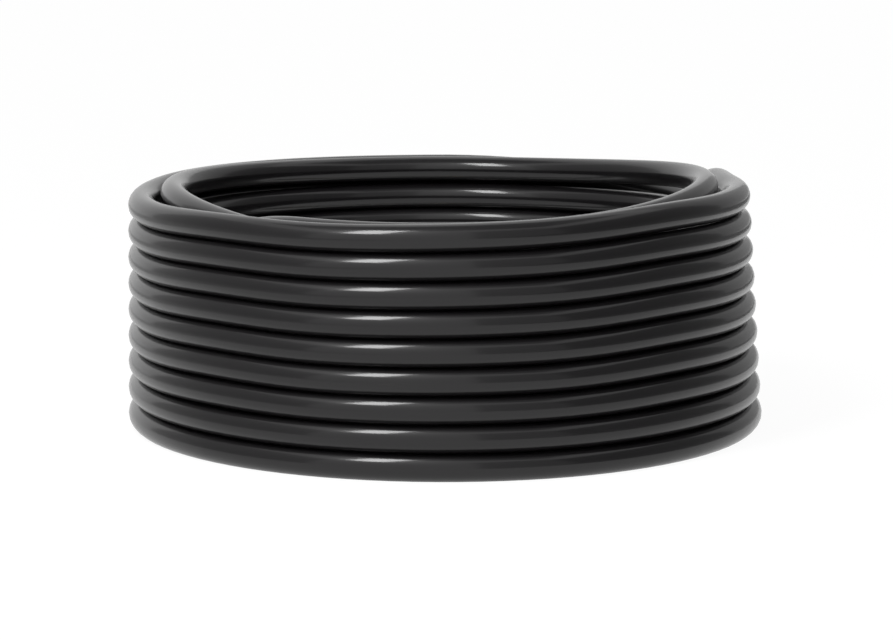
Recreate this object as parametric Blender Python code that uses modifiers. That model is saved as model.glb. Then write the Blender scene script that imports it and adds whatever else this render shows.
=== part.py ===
"""Soaker hose, wound in a coil of two layers, with its inlet coupling and its end cap.

Metres, +Z up, standing on Z = 0, with the middle of the footprint at the origin. Bearings are in degrees,
clockwise seen from above, and 0 is the front (-Y). The hose starts at the inlet, on the ground behind the
coil, rises to the outer layer's top turn, winds down that layer, crosses over along the ground, winds up the
inner layer, and comes down inside the coil to its capped end. One running bearing counts all the turns.
"""

import math

import bmesh
import bpy
from mathutils import Matrix, Vector
from mathutils.kdtree import KDTree

# ---- Hose -----------------------------------------------------------------------------------------------
HOSE_OD = 0.0178
HOSE_WALL = 0.00255
GROUND_FLAT = HOSE_OD / 10  # how much of the base turn's lowest edge is pressed flat
FIT_GAP = 0.0003  # between pieces that seat in or on each other

# ---- Coil: outer layer ----------------------------------------------------------------------------------
COIL_BASE_RADIUS = 0.2177  # to the middle of the hose
COIL_TOP_RADIUS = 0.2120
COIL_LEAN = -0.0043  # how far the top turn's middle lies along X from the base turn's
OUTER_TURNS = 9
OUTER_GAP = 0.00147  # between one turn and the next, on average round the coil
OUTER_GAP_TILT = 0.00054  # wider than that by this much on the right, and closer on the left
OUTER_SWELL = 0.0020  # how far the loose turns ride up at the front's two corners
SWELL_TURNS = 3  # turns above the base before the swell has its full height
SWELL_SHARPNESS = 6  # the higher, the shorter the swell
OUTER_STEP = (180, 255)  # bearings between which each outer turn steps down to the next
SAG = 0.0070  # how far the top turn hangs lower behind, and the turns below it in proportion
SAG_IN = (108, 190)  # bearings between which the sag begins
SAG_OUT = (200, 315)  # and ends

# ---- Coil: inner layer ----------------------------------------------------------------------------------
LAYER_GAP_TOP = 0.00465  # between the two layers, at the top and at the base
LAYER_GAP_BASE = 0.00355
INNER_TURNS = 8
INNER_GAP = 0.00057
TOP_LOOP_GAP = 0.0024  # the last loop lies looser by this much
SADDLE = 0.0092  # how much higher the top loop is at its sides than behind
SADDLE_TILT = 0.0024  # how much higher still on the right
SADDLE_FRONT = 0.0032  # and how much higher in front than behind
SADDLE_TURNS = 2  # turns over which the saddle flattens out below
INNER_STEP = (-42, 85)  # bearings between which each inner turn steps up to the next
CROSSING = (105, 185)  # bearings between which the hose crosses over to the inner layer

# ---- The hose's two ends --------------------------------------------------------------------------------
INLET_OUT = (98, 135)  # bearings, counter-clockwise here, between which it moves off the outer layer
INLET_DROP = (110, 172)  # comes down to the ground
INLET_STEEPNESS = 0.57  # the drop's height over its length
INLET_TURN = (140, 172)  # and straightens
INLET_SIDE_GAP = 0.0034  # to the outer layer
OUTLET_IN = (-35, 24)  # bearings between which it moves off the inner layer
OUTLET_TUCK = 0.0036  # how far it dips as it does
OUTLET_DROP = (34, 170)  # bearings between which it comes down to the ground
OUTLET_TURN = 135  # where it curls tighter
OUTLET_CURL_RADIUS = 0.110
OUTLET_SIDE_GAP = 0.0034  # to the inner layer
STRAIGHT_END = 0.0360  # straight hose behind each fitting

POINTS_PER_TURN = 22  # and closer along the two ends
HOSE_FACETS = 1  # bevel resolution
BORE_FACETS = 0
GAP_SAMPLE = 0.0015  # distance between the points that the least gap is measured on
NEAR_DIAMETERS = 4  # this far along the hose isn't another turn

# ---- Garden hose thread, 3/4 in -------------------------------------------------------------------------
THREAD_PITCH = 0.0254 / 11.5
THREAD_CREST = 0.01325  # radius
THREAD_CORE = 0.01210
THREAD_HALF_WIDTH = 0.00075  # at the core
THREAD_SLOPE = math.tan(math.radians(30))
THREAD_GAP = 0.0004
FLANK_GAP = 0.00035
FACET_TURN = math.radians(5)  # where threads and sockets start, off the corners of what they cut
MALE_TURNS = 3.5
MALE_START = 0.0010  # from the collar to the thread
MALE_LEAD = 0.0014  # from the thread to the nose
THREAD_RUNOUT = 1  # turns by which a cut thread runs out of its mouth, and half as many past its mate
OVERRUN = 0.0004  # how far a shape runs into or past the one it joins or cuts

# ---- Fittings -------------------------------------------------------------------------------------------
ROUND_STEPS = 24
WALL = 0.0021  # of the nut and the cap, outside the thread
CHAMFER = 0.0006
STEM_WALL = 0.00115  # between the barbs
BARB_COUNT = 3
BARB_PITCH = 0.0080
BARB_LAND = 0.0020  # plain stem above each barb
BARB_DEPTH = 0.0007
NECK_STEP = 0.0003  # how far the neck stands out past the barbs
COLLAR_LENGTH = 0.0018
FLANGE_CLEARANCE = 0.0013  # from the flange to the nut's bore
FLANGE_LENGTH = 0.0020
FERRULE_LENGTH = 0.0250
FERRULE_WALL = 0.0012
CRIMP_COUNT = 3
CRIMP_PITCH = 0.0070
CRIMP_WIDTH = 0.0030
CRIMP_SLOPE = 0.0009
CRIMP_DEPTH = 0.0006
SHOULDER = 0.0022  # of the nut, behind the flange
WASHER_THICKNESS = 0.0028
WASHER_HOLE = 0.0072  # radius
RESTRICTOR_THICKNESS = 0.0014
RESTRICTOR_HOLE = 0.0012  # radius
THREAD_ENTRY = 0.0012  # from the restrictor to the nut's thread
NUT_MOUTH = 0.0105  # from the restrictor to the nut's open end
CAP_TOP = 0.0024
NUT_GRIPS = 12
NUT_GRIP_RADIUS = 0.0021
CAP_GRIPS = 20
CAP_GRIP_RADIUS = 0.0011
GRIP_DEPTH = 0.0007
GRIP_SIDES = 10
SHARP_ANGLE = math.radians(35)
WELD = 1e-6

# ---- Worked out from the sizes above --------------------------------------------------------------------
HOSE_RADIUS = HOSE_OD / 2
BARB_RADIUS = HOSE_RADIUS - HOSE_WALL
SOCKET_RADIUS = BARB_RADIUS + FIT_GAP  # the bore, stretched by the barbs
STEM_INSERT = BARB_COUNT * BARB_PITCH
STEM_BORE_RADIUS = BARB_RADIUS - BARB_DEPTH - STEM_WALL
NECK_RADIUS = BARB_RADIUS + NECK_STEP
BASE_HEIGHT = HOSE_RADIUS - GROUND_FLAT
COIL_RADIUS = max(COIL_BASE_RADIUS, COIL_TOP_RADIUS)
INNER_BASE_RADIUS = COIL_BASE_RADIUS - HOSE_OD - LAYER_GAP_BASE
INNER_TOP_RADIUS = COIL_TOP_RADIUS - HOSE_OD - LAYER_GAP_TOP
FEMALE_BORE = THREAD_CORE + THREAD_GAP
FEMALE_ROOT = THREAD_CREST + THREAD_GAP
NUT_RADIUS = FEMALE_ROOT + WALL
WASHER_RADIUS = FEMALE_BORE - FIT_GAP
FLANGE_RADIUS = FEMALE_BORE - FLANGE_CLEARANCE
FITTING_HEIGHT = NUT_RADIUS + FIT_GAP
INLET_LINE = COIL_RADIUS + HOSE_RADIUS + INLET_SIDE_GAP / 2 + NUT_RADIUS  # behind the coil's axis
INLET_RADIUS = COIL_RADIUS + HOSE_OD + INLET_SIDE_GAP
OUTLET_RADIUS = min(INNER_BASE_RADIUS, INNER_TOP_RADIUS) - HOSE_OD - OUTLET_SIDE_GAP
COIL_Y = (COIL_RADIUS + HOSE_RADIUS - INLET_LINE - NUT_RADIUS) / 2

# Heights above the hose's end face, along a fitting.
LIP_END = FIT_GAP + FERRULE_WALL
COLLAR_START = LIP_END + FIT_GAP
COLLAR_END = COLLAR_START + COLLAR_LENGTH
NUT_START = COLLAR_END + FIT_GAP
FLANGE_START = NUT_START + SHOULDER + FIT_GAP
FLANGE_END = FLANGE_START + FLANGE_LENGTH
INLET_WASHER_START = FLANGE_END + FIT_GAP
RESTRICTOR_START = INLET_WASHER_START + WASHER_THICKNESS + FIT_GAP
RESTRICTOR_END = RESTRICTOR_START + RESTRICTOR_THICKNESS
NUT_END = RESTRICTOR_END + NUT_MOUTH
MALE_THREAD_START = COLLAR_END + MALE_START
NOSE_END = MALE_THREAD_START + MALE_TURNS * THREAD_PITCH + MALE_LEAD
CAP_START = COLLAR_END + FIT_GAP
CAP_WASHER_START = NOSE_END + FIT_GAP
CAP_FLOOR = CAP_WASHER_START + WASHER_THICKNESS + FIT_GAP
CAP_END = CAP_FLOOR + CAP_TOP


# ---- The hose's route -----------------------------------------------------------------------------------
def smooth(value, start, end):
    """0 before start and 1 after end, with no kink at either."""
    share = min(1.0, max(0.0, (value - start) / (end - start)))
    return share * share * (3 - 2 * share)


def arcs(value, start, end, steepness):
    """0 before start and 1 after end, along two round arcs that meet half way."""
    share = min(1.0, max(0.0, (value - start) / (end - start)))
    if share > 0.5:
        return 1 - arcs(start + end - value, start, end, steepness)
    radius = (1 + steepness**2) / (4 * steepness)
    return (radius - math.sqrt(radius**2 - share**2)) / steepness


def blend(first, second, share):
    return first + (second - first) * share


def steps_taken(bearing, start, end):
    """How many turns a layer has stepped at a running bearing, when each turn steps from start to end."""
    turn = math.floor((bearing - start) / 360)
    return turn + smooth(bearing - 360 * turn, start, end)


def place(bearing, radius, height, lean=0.0):
    """The point at a bearing and radius round the coil's axis."""
    angle = math.radians(bearing)
    return Vector((lean - radius * math.sin(angle), COIL_Y - radius * math.cos(angle), height))


def outer_turn(bearing):
    """Radius, height and lean of the outer layer."""
    angle = math.radians(bearing)
    above = min(OUTER_TURNS - 1, max(0, OUTER_TURNS - 1 - steps_taken(bearing, *OUTER_STEP)))
    share = above / (OUTER_TURNS - 1)
    height = BASE_HEIGHT + above * (HOSE_OD + OUTER_GAP - OUTER_GAP_TILT * math.sin(angle))
    height -= SAG * share * smooth(bearing % 360, *SAG_IN) * (1 - smooth(bearing % 360, *SAG_OUT))
    if math.cos(angle) > 0:
        height += OUTER_SWELL * smooth(above, 0, SWELL_TURNS) * math.sin(2 * angle) ** SWELL_SHARPNESS
    return blend(COIL_BASE_RADIUS, COIL_TOP_RADIUS, share), height, COIL_LEAN * share


def inner_turn(bearing):
    """Radius, height and lean of the inner layer."""
    angle = math.radians(bearing)
    above = min(INNER_TURNS, max(0, steps_taken(bearing, *INNER_STEP) - OUTER_TURNS))
    share = above / INNER_TURNS
    height = BASE_HEIGHT + above * (HOSE_OD + INNER_GAP)
    height += TOP_LOOP_GAP * smooth(above, INNER_TURNS - 1, INNER_TURNS)
    side = math.sin(angle)
    saddle = (SADDLE * abs(side) - SADDLE_TILT * side) * side**2 + SADDLE_FRONT * (1 + math.cos(angle)) / 2
    height += saddle * smooth(above, INNER_TURNS - SADDLE_TURNS, INNER_TURNS)
    return blend(INNER_BASE_RADIUS, INNER_TOP_RADIUS, share), height, COIL_LEAN * share


def coil_point(bearing):
    """The hose's middle in its two layers. Bearing 0 is the front of the outer layer's top turn."""
    outer = outer_turn(bearing)
    inner = inner_turn(bearing)
    crossing = 360 * (OUTER_TURNS - 1)
    share = smooth(bearing - crossing, *CROSSING)
    return place(bearing, *(blend(first, second, share) for first, second in zip(outer, inner)))


def inlet_point(bearing):
    """The hose's middle on its way from the top turn, counter-clockwise, down to the inlet behind."""
    radius, height, lean = outer_turn(-bearing)
    radius = blend(radius, INLET_RADIUS, smooth(bearing, *INLET_OUT))
    if bearing > INLET_TURN[0]:
        line = -INLET_LINE / math.cos(math.radians(bearing))
        radius = blend(radius, line, smooth(bearing, *INLET_TURN))
    drop = arcs(bearing, *INLET_DROP, INLET_STEEPNESS)
    return place(-bearing, radius, blend(height, FITTING_HEIGHT, drop), lean * (1 - drop))


def outlet_point(bearing):
    """The hose's middle on its way from the top loop, clockwise, down to the outlet inside the coil."""
    radius, height, lean = inner_turn(360 * (OUTER_TURNS + INNER_TURNS) + min(bearing, 0))
    inward = smooth(bearing, *OUTLET_IN)
    radius = blend(radius, OUTLET_RADIUS, inward)
    drop = smooth(bearing, *OUTLET_DROP)
    height = blend(height - OUTLET_TUCK * inward, FITTING_HEIGHT, drop)
    lean *= 1 - drop
    if bearing <= OUTLET_TURN:
        return place(bearing, radius, height, lean)
    # A tighter curl, which leaves the wide one along its own tangent.
    curl = place(OUTLET_TURN, OUTLET_RADIUS - OUTLET_CURL_RADIUS, 0, lean)
    return curl + place(bearing, OUTLET_CURL_RADIUS, height) - Vector((0, COIL_Y, 0))


def bearings(start, end, step):
    """The multiples of a step from start to end."""
    return [count * step for count in range(math.ceil(start / step), math.floor(end / step) + 1)]


def hose_route():
    """The points along the hose's middle, from its inlet end face to its outlet end face."""
    turn_step = 360 / POINTS_PER_TURN
    last_turn = 360 * (OUTER_TURNS + INNER_TURNS)
    inlet = [inlet_point(bearing) for bearing in bearings(INLET_OUT[0], INLET_TURN[1], turn_step / 3)]
    inlet.append(inlet_point(INLET_TURN[1]))
    coil = [coil_point(bearing) for bearing in bearings(-INLET_OUT[0], last_turn + OUTLET_IN[0], turn_step)]
    outlet = [outlet_point(bearing) for bearing in bearings(OUTLET_IN[0], 180, turn_step / 2)]
    straight = Vector((STRAIGHT_END, 0, 0))
    inlet.append(inlet[-1] - straight)
    outlet.append(outlet[-1] + straight)
    return [*reversed(inlet), *coil, *outlet]


def length_of(points):
    return sum((second - first).length for first, second in zip(points, points[1:]))


def least_self_gap(points):
    """The least distance between the surfaces of two stretches of the hose that lie next to each other."""
    samples = []
    for first, second in zip(points, points[1:]):
        count = math.ceil((second - first).length / GAP_SAMPLE)
        samples += [first.lerp(second, number / count) for number in range(count)]
    tree = KDTree(len(samples))
    for number, sample in enumerate(samples):
        tree.insert(sample, number)
    tree.balance()
    skip = NEAR_DIAMETERS * HOSE_OD / GAP_SAMPLE
    least = math.inf
    for number, sample in enumerate(samples):
        for _, other, distance in tree.find_range(sample, HOSE_OD + LAYER_GAP_TOP):
            if other - number > skip and distance < least:
                least = distance
    return least - HOSE_OD


# ---- Modelling ------------------------------------------------------------------------------------------
def clear_scene():
    for obj in list(bpy.data.objects):
        bpy.data.objects.remove(obj)


def new_collection(name):
    collection = bpy.data.collections.new(name)
    bpy.context.scene.collection.children.link(collection)
    return collection


def new_material(name, colour, roughness, metallic=0.0):
    material = bpy.data.materials.new(name)
    material.use_nodes = True
    shader = material.node_tree.nodes["Principled BSDF"]
    shader.inputs["Base Color"].default_value = (*colour, 1)
    shader.inputs["Roughness"].default_value = roughness
    shader.inputs["Metallic"].default_value = metallic
    return material


def new_object(name, mesh, collection, parent=None):
    obj = bpy.data.objects.new(name, mesh)
    collection.objects.link(obj)
    obj.parent = parent
    return obj


def finish(obj, material):
    """Gives a part its material and its shading."""
    obj.data.materials.append(material)
    obj.data.shade_smooth()
    obj.data.set_sharp_from_angle(angle=SHARP_ANGLE)


def evaluated_mesh(obj):
    bpy.context.view_layer.update()
    return bpy.data.meshes.new_from_object(obj.evaluated_get(bpy.context.evaluated_depsgraph_get()))


def tube(name, points, radius, facets, collection):
    """A solid tube along a row of points, as a mesh of triangles, because its bent quads aren't flat."""
    curve = bpy.data.curves.new(name + "_route", "CURVE")
    curve.dimensions = "3D"
    curve.twist_mode = "Z_UP"
    curve.bevel_depth = radius
    curve.bevel_resolution = facets
    curve.use_fill_caps = True
    spline = curve.splines.new("POLY")
    spline.points.add(len(points) - 1)
    for control, point in zip(spline.points, points):
        control.co = (*point, 1)
    guide = new_object(name + "_route", curve, collection)
    obj = new_object(name, evaluated_mesh(guide), collection)
    obj.matrix_world = guide.matrix_world
    bpy.data.objects.remove(guide)
    shape = bmesh.new()
    shape.from_mesh(obj.data)
    bmesh.ops.remove_doubles(shape, verts=shape.verts, dist=WELD)
    bmesh.ops.triangulate(shape, faces=shape.faces)
    shape.to_mesh(obj.data)
    shape.free()
    return obj


def turned(name, profile, collection, parent, ring=True):
    """A profile of (radius, height) points turned round Z. A ring's profile closes on itself."""
    mesh = bpy.data.meshes.new(name)
    shape = bmesh.new()
    corners = [shape.verts.new((radius, 0, height)) for radius, height in profile]
    for first, second in zip(corners, corners[1:] + corners[:1] if ring else corners[1:]):
        shape.edges.new((first, second))
    shape.to_mesh(mesh)
    shape.free()
    obj = new_object(name, mesh, collection)
    screw = obj.modifiers.new("Turn", "SCREW")
    screw.steps = screw.render_steps = ROUND_STEPS
    screw.use_merge_vertices = True
    screw.merge_threshold = WELD
    obj.data = evaluated_mesh(obj)
    obj.modifiers.clear()
    obj.parent = parent
    return obj


def cylinder(name, radius, start, end, collection, parent):
    """A cylinder on Z between two heights, whose first corner lies a little off X."""
    mesh = bpy.data.meshes.new(name)
    shape = bmesh.new()
    bmesh.ops.create_cone(
        shape, cap_ends=True, segments=ROUND_STEPS, radius1=radius, radius2=radius, depth=end - start
    )
    bmesh.ops.translate(shape, verts=shape.verts, vec=(0, 0, (start + end) / 2))
    bmesh.ops.rotate(shape, verts=shape.verts, cent=(0, 0, 0), matrix=Matrix.Rotation(FACET_TURN, 3, "Z"))
    shape.to_mesh(mesh)
    shape.free()
    return new_object(name, mesh, collection, parent)


def thread(name, inner, outer, gap, start, turns, collection, parent):
    """A thread's ridge, from one radius to another, widened by a gap on each flank."""
    half_widths = [
        THREAD_HALF_WIDTH - (radius - THREAD_CORE) * THREAD_SLOPE + gap / math.cos(math.atan(THREAD_SLOPE))
        for radius in (inner, outer)
    ]
    profile = [
        (inner, -half_widths[0]),
        (outer, -half_widths[1]),
        (outer, half_widths[1]),
        (inner, half_widths[0]),
    ]
    mesh = bpy.data.meshes.new(name)
    shape = bmesh.new()
    face = shape.faces.new([shape.verts.new((radius, 0, start + height)) for radius, height in profile])
    bmesh.ops.spin(
        shape,
        geom=[*face.verts, *face.edges, face],
        axis=(0, 0, 1),
        cent=(0, 0, 0),
        dvec=(0, 0, THREAD_PITCH / ROUND_STEPS),
        angle=math.tau * turns,
        steps=round(ROUND_STEPS * turns),
    )
    bmesh.ops.recalc_face_normals(shape, faces=shape.faces)
    bmesh.ops.rotate(shape, verts=shape.verts, cent=(0, 0, 0), matrix=Matrix.Rotation(FACET_TURN, 3, "Z"))
    shape.to_mesh(mesh)
    shape.free()
    return new_object(name, mesh, collection, parent)


def grips(name, count, radius, rim, start, end, collection, parent):
    """Round grooves along a nut or a cap, as one cutter. The first lies half a step off X."""
    mesh = bpy.data.meshes.new(name)
    shape = bmesh.new()
    away = rim + radius - GRIP_DEPTH
    for number in range(count):
        angle = math.tau * (number + 0.5) / count
        made = bmesh.ops.create_cone(
            shape, cap_ends=True, segments=GRIP_SIDES, radius1=radius, radius2=radius, depth=end - start
        )
        spot = (away * math.cos(angle), away * math.sin(angle), (start + end) / 2)
        bmesh.ops.translate(shape, verts=made["verts"], vec=spot)
    shape.to_mesh(mesh)
    shape.free()
    return new_object(name, mesh, collection, parent)


def boolean(obj, operation, *others):
    for other in others:
        modifier = obj.modifiers.new(other.name, "BOOLEAN")
        modifier.operation = operation
        modifier.object = other
        modifier.solver = "EXACT"
        other.hide_render = True
        other.display_type = "WIRE"


# ---- Fittings -------------------------------------------------------------------------------------------
def barbs():
    """A stem's outline inside the hose, from the neck down to its tip."""
    root = BARB_RADIUS - BARB_DEPTH
    profile = [(NECK_RADIUS, FIT_GAP), (root, FIT_GAP)]
    for number in range(BARB_COUNT):
        top = -number * BARB_PITCH - BARB_LAND
        profile += [(root, top), (BARB_RADIUS, top), (root, -(number + 1) * BARB_PITCH)]
    return [*profile, (STEM_BORE_RADIUS, -STEM_INSERT)]


def crimped_sleeve():
    """A ferrule's outline, with its crimped grooves and the lip over the hose's end face."""
    outside = HOSE_RADIUS + FIT_GAP + FERRULE_WALL
    profile = [(outside, LIP_END)]
    first = -(FERRULE_LENGTH - (CRIMP_COUNT - 1) * CRIMP_PITCH) / 2
    for number in range(CRIMP_COUNT):
        middle = first - number * CRIMP_PITCH
        profile += [
            (outside, middle + CRIMP_WIDTH / 2),
            (outside - CRIMP_DEPTH, middle + CRIMP_WIDTH / 2 - CRIMP_SLOPE),
            (outside - CRIMP_DEPTH, middle - CRIMP_WIDTH / 2 + CRIMP_SLOPE),
            (outside, middle - CRIMP_WIDTH / 2),
        ]
    return [
        *profile,
        (outside, -FERRULE_LENGTH),
        (HOSE_RADIUS + FIT_GAP, -FERRULE_LENGTH),
        (HOSE_RADIUS + FIT_GAP, FIT_GAP),
        (NECK_RADIUS + FIT_GAP, FIT_GAP),
        (NECK_RADIUS + FIT_GAP, LIP_END),
    ]


def disc(start, thickness, hole):
    return [
        (WASHER_RADIUS, start + thickness),
        (WASHER_RADIUS, start),
        (hole, start),
        (hole, start + thickness),
    ]


def inlet_fitting(parts, cutters, frame, materials):
    """The swivel coupling at the tap end, pointing along its frame's +Z."""
    neck = [
        (STEM_BORE_RADIUS, FLANGE_END),
        (FLANGE_RADIUS, FLANGE_END),
        (FLANGE_RADIUS, FLANGE_START),
        (NECK_RADIUS, FLANGE_START),
        (NECK_RADIUS, COLLAR_END),
        (HOSE_RADIUS, COLLAR_END),
        (HOSE_RADIUS, COLLAR_START),
        (NECK_RADIUS, COLLAR_START),
    ]
    finish(turned("inlet_stem", neck + barbs(), parts, frame), materials["brass"])
    finish(turned("inlet_ferrule", crimped_sleeve(), parts, frame), materials["ferrule"])

    nut = turned(
        "inlet_nut",
        [
            (NUT_RADIUS - CHAMFER, NUT_END),
            (NUT_RADIUS, NUT_END - CHAMFER),
            (NUT_RADIUS, NUT_START + CHAMFER),
            (NUT_RADIUS - CHAMFER, NUT_START),
            (NECK_RADIUS + FIT_GAP, NUT_START),
            (NECK_RADIUS + FIT_GAP, NUT_START + SHOULDER),
            (FEMALE_BORE, NUT_START + SHOULDER),
            (FEMALE_BORE, NUT_END),
        ],
        parts,
        frame,
    )
    finish(nut, materials["brass"])
    groove = thread(
        "nut_thread_cutter",
        FEMALE_BORE - OVERRUN,
        FEMALE_ROOT,
        FLANK_GAP,
        RESTRICTOR_END + THREAD_ENTRY,
        (NUT_MOUTH - THREAD_ENTRY) / THREAD_PITCH + THREAD_RUNOUT / 2,
        cutters,
        frame,
    )
    grip = grips(
        "nut_grip_cutter",
        NUT_GRIPS,
        NUT_GRIP_RADIUS,
        NUT_RADIUS,
        NUT_START - OVERRUN,
        NUT_END + OVERRUN,
        cutters,
        frame,
    )
    boolean(nut, "DIFFERENCE", groove, grip)

    washer = turned("inlet_washer", disc(INLET_WASHER_START, WASHER_THICKNESS, WASHER_HOLE), parts, frame)
    finish(washer, materials["rubber"])
    restrictor = disc(RESTRICTOR_START, RESTRICTOR_THICKNESS, RESTRICTOR_HOLE)
    finish(turned("flow_restrictor", restrictor, parts, frame), materials["restrictor"])


def outlet_fitting(parts, cutters, frame, materials):
    """The threaded end with its cap, pointing along its frame's +Z."""
    neck = [
        (STEM_BORE_RADIUS, NOSE_END),
        (THREAD_CORE - CHAMFER, NOSE_END),
        (THREAD_CORE, NOSE_END - CHAMFER),
        (THREAD_CORE, COLLAR_START),
        (NECK_RADIUS, COLLAR_START),
    ]
    stem = turned("outlet_stem", neck + barbs(), parts, frame)
    finish(stem, materials["brass"])
    ridge = thread(
        "stem_thread",
        THREAD_CORE - OVERRUN,
        THREAD_CREST,
        0,
        MALE_THREAD_START,
        MALE_TURNS,
        cutters,
        frame,
    )
    boolean(stem, "UNION", ridge)
    finish(turned("outlet_ferrule", crimped_sleeve(), parts, frame), materials["ferrule"])

    cap = turned(
        "end_cap",
        [
            (0, CAP_END),
            (NUT_RADIUS - CHAMFER, CAP_END),
            (NUT_RADIUS, CAP_END - CHAMFER),
            (NUT_RADIUS, CAP_START + CHAMFER),
            (NUT_RADIUS - CHAMFER, CAP_START),
            (FEMALE_BORE, CAP_START),
            (FEMALE_BORE, CAP_FLOOR),
            (0, CAP_FLOOR),
        ],
        parts,
        frame,
        ring=False,
    )
    finish(cap, materials["cap"])
    groove = thread(
        "cap_thread_cutter",
        FEMALE_BORE - OVERRUN,
        FEMALE_ROOT,
        FLANK_GAP,
        MALE_THREAD_START - THREAD_RUNOUT * THREAD_PITCH,
        MALE_TURNS + THREAD_RUNOUT * 3 / 2,
        cutters,
        frame,
    )
    grip = grips(
        "cap_grip_cutter",
        CAP_GRIPS,
        CAP_GRIP_RADIUS,
        NUT_RADIUS,
        CAP_START - OVERRUN,
        CAP_END + OVERRUN,
        cutters,
        frame,
    )
    boolean(cap, "DIFFERENCE", groove, grip)
    washer = turned("cap_washer", disc(CAP_WASHER_START, WASHER_THICKNESS, WASHER_HOLE), parts, frame)
    finish(washer, materials["rubber"])


def fitting_frame(name, spot, direction, collection):
    """An empty at a hose end, whose Z runs outward along the fitting."""
    frame = new_object(name, None, collection)
    frame.location = spot
    frame.rotation_mode = "QUATERNION"
    frame.rotation_quaternion = direction.to_track_quat("Z", "Y")
    return frame


def main():
    clear_scene()
    parts = new_collection("soaker_hose")
    cutters = new_collection("cutters")
    cutters.hide_render = True
    materials = {
        "hose": new_material("hose_black", (0.012, 0.012, 0.013), 0.24),
        "brass": new_material("brass", (0.80, 0.58, 0.26), 0.30, 1),
        "ferrule": new_material("ferrule_aluminium", (0.72, 0.72, 0.74), 0.35, 1),
        "rubber": new_material("washer_rubber", (0.02, 0.02, 0.02), 0.80),
        "restrictor": new_material("restrictor_plastic", (0.75, 0.75, 0.72), 0.45),
        "cap": new_material("cap_plastic", (0.02, 0.02, 0.022), 0.45),
    }

    points = hose_route()
    print(f"hose length {length_of(points):.3f} m")
    print(f"least gap from the hose to itself {least_self_gap(points) * 1000:.2f} mm")
    inlet_way = (points[0] - points[1]).normalized()
    outlet_way = (points[-1] - points[-2]).normalized()
    inlet = fitting_frame("inlet_axis", points[0], inlet_way, parts)
    outlet = fitting_frame("outlet_axis", points[-1], outlet_way, parts)

    hose = tube("hose", points, HOSE_RADIUS, HOSE_FACETS, parts)
    finish(hose, materials["hose"])
    past = [points[0] + inlet_way * OVERRUN, *points[1:-1], points[-1] + outlet_way * OVERRUN]
    bore = tube("hose_bore", past, HOSE_RADIUS - HOSE_WALL, BORE_FACETS, cutters)
    sockets = [
        cylinder(f"{end}_socket", SOCKET_RADIUS, -STEM_INSERT - FIT_GAP, OVERRUN, cutters, frame)
        for end, frame in (("inlet", inlet), ("outlet", outlet))
    ]
    bpy.ops.mesh.primitive_cube_add(size=1, location=(0, 0, -HOSE_OD / 2))
    ground = bpy.context.object
    ground.name = "ground_cutter"
    ground.scale = (3 * COIL_RADIUS, 3 * COIL_RADIUS, HOSE_OD)
    for collection in ground.users_collection:
        collection.objects.unlink(ground)
    cutters.objects.link(ground)
    boolean(hose, "DIFFERENCE", bore, *sockets, ground)

    inlet_fitting(parts, cutters, inlet, materials)
    outlet_fitting(parts, cutters, outlet, materials)


if __name__ == "__main__":
    main()
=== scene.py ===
"""Looks of the soaker hose: a glossy black tube wound in a coil of two layers, with its two couplings.

Metres, +Z up. The hose, its tap coupling and its capped end are modelled here at full detail over the
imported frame, given procedural finishes, and set in a white studio as photographed.
"""

from __future__ import annotations

import logging
import math
from collections.abc import Callable, Sequence
from dataclasses import dataclass
from enum import Enum

import bpy
import numpy as np
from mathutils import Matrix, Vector

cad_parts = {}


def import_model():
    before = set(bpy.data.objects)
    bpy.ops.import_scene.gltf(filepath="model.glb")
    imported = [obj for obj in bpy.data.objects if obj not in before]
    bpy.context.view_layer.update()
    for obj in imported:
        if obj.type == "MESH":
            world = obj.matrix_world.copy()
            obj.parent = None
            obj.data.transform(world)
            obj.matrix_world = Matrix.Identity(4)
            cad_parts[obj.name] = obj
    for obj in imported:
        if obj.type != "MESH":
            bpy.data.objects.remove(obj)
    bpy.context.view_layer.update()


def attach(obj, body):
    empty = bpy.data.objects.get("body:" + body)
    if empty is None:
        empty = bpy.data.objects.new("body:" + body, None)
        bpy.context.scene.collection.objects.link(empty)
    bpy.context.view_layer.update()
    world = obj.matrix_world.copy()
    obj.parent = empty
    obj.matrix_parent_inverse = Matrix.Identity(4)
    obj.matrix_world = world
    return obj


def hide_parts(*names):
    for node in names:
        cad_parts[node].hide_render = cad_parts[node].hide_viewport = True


log = logging.getLogger("soaker_hose")

Pair = tuple[float, float]
Triple = tuple[float, float, float]
Outline = list[Pair]


# ---- Sizes ----------------------------------------------------------------------------------------------
@dataclass(frozen=True)
class HoseSizes:
    """The hose's section, in metres.

    The coiled hose is drawn fuller in radius than it is, to close the gaps between its rows as they are in
    the photograph. It has its real size at both ends, and reaches its drawn one over full_from from there.
    layers_meet is how far along the hose its outer layer passes into the inner one.
    """

    radius: float = 0.0089
    outer_fullness: float = 0.0008
    inner_fullness: float = 0.00035
    full_from: Pair = (0.06, 0.16)
    layers_meet: Pair = (11.8, 12.2)
    wall: float = 0.00255
    length: float = 23.0
    sides: int = 24
    rings_per_turn: int = 90
    end_rings_per_turn: int = 270

    @property
    def diameter(self) -> float:
        """The hose's outside diameter."""
        return 2 * self.radius


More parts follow.
